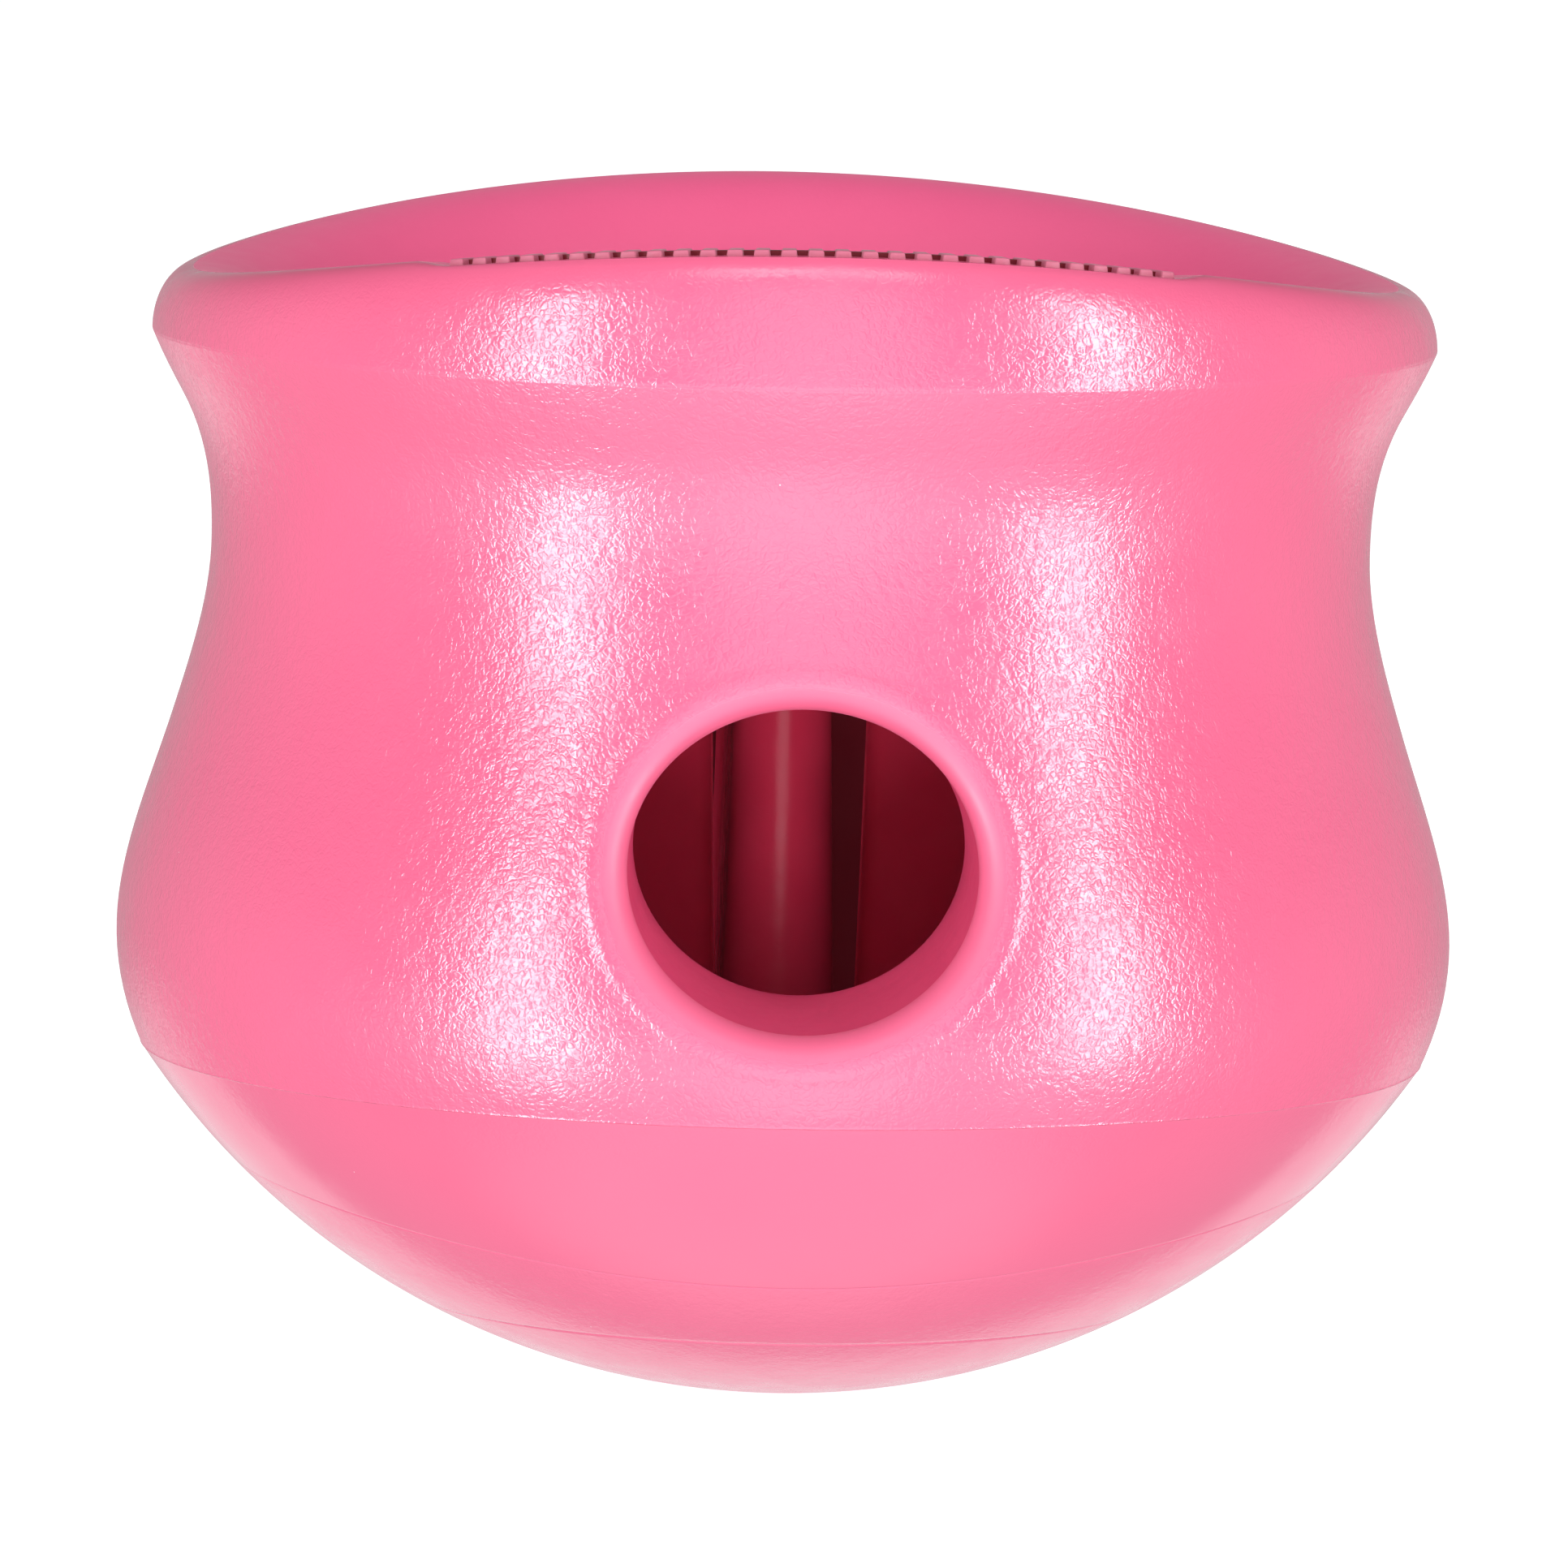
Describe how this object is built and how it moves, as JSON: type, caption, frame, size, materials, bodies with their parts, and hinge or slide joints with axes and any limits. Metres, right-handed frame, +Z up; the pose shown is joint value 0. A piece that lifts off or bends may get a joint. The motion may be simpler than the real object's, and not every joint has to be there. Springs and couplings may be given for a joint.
{
  "type": "treat dispensing dog toy",
  "caption": "Soft rubber treat cup for dogs with a wavy flared lip, an oval treat port in its bulging wall, upright inner fins and a rounded rocking base.",
  "frame": {"origin": "centre of the flat spot under the rounded base, on the surface that the toy stands on", "axes": "+Z up through the open mouth, the treat port faces -Y, +X to the right seen from the port"},
  "size_m": [0.1014, 0.101, 0.09],
  "materials": {
    "soft_rubber": "satin, fine moulded pebble texture",
    "soft_rubber_inside": "satin, smooth"
  },
  "bodies": {
    "root": {"rim_lip": "soft_rubber", "side_wall": "soft_rubber", "base_bowl": "soft_rubber", "base_cap": "soft_rubber", "inner_fin_back": "soft_rubber_inside", "inner_fin_left": "soft_rubber_inside", "inner_fin_right": "soft_rubber_inside"}
  },
  "joints": []
}
